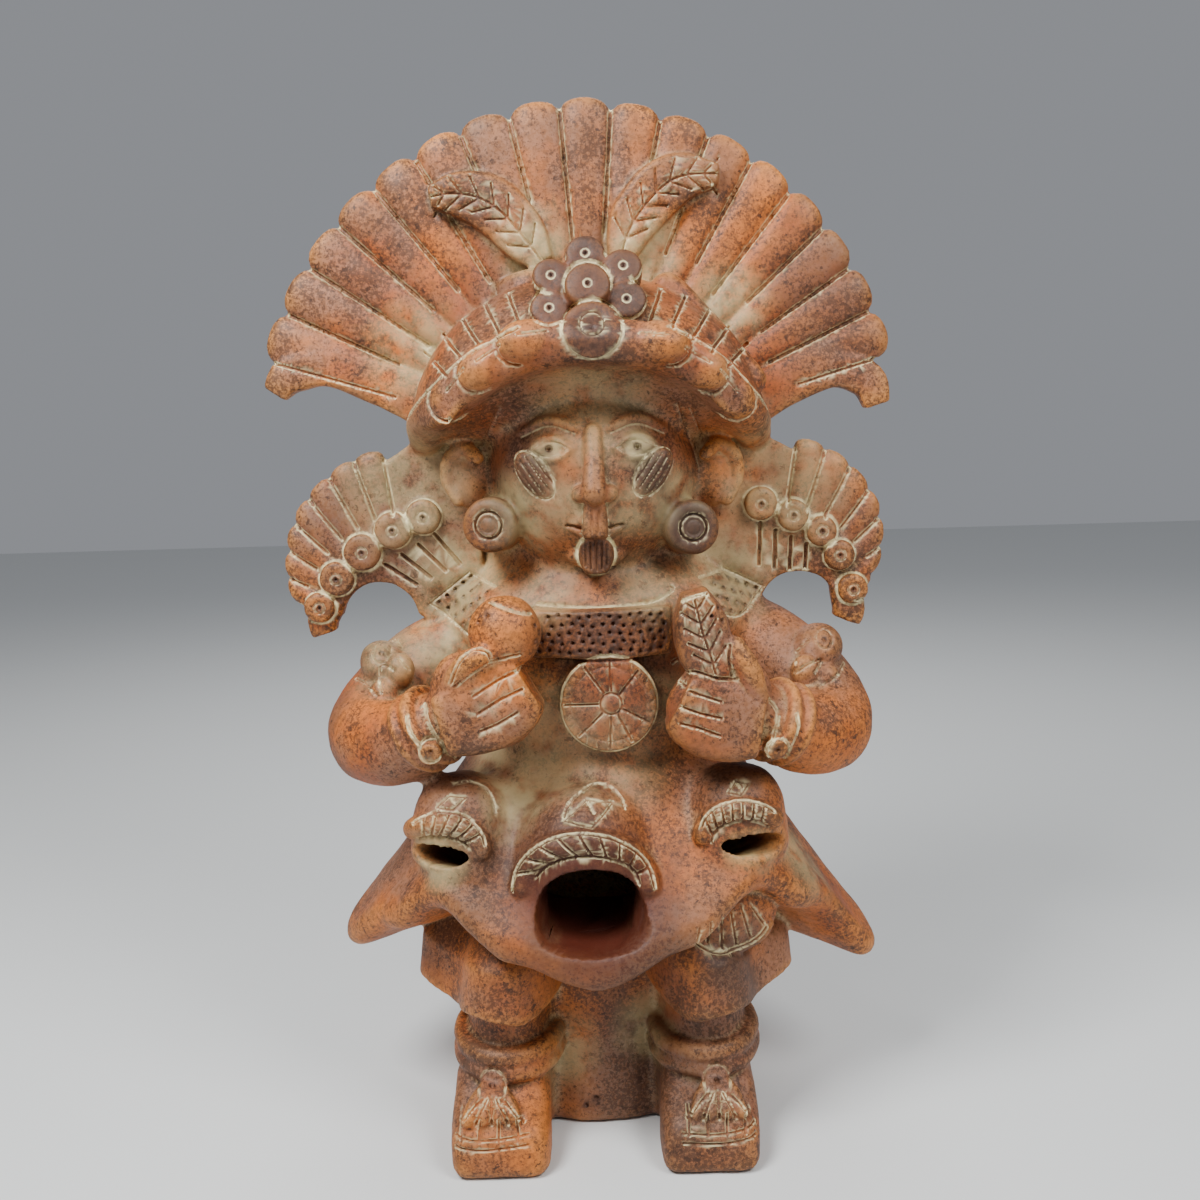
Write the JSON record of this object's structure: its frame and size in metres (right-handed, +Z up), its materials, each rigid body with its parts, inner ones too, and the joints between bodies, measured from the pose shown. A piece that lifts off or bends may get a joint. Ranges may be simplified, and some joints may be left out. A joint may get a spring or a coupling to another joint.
{
  "type": "figural urn",
  "caption": "Tall hollow terracotta urn shaped as a standing figure with a feather fan headdress, side wings, a cape with hooded openings, a skirt and two feet.",
  "frame": {"origin": "centre of the round underside of the vessel, on the surface that it stands on", "axes": "+Z up, the figure faces -Y, +X to the right as seen from the front"},
  "size_m": [0.301, 0.2, 0.496],
  "materials": {
    "terracotta": "matte"
  },
  "bodies": {
    "root": {"figural_urn": "terracotta"}
  },
  "joints": []
}
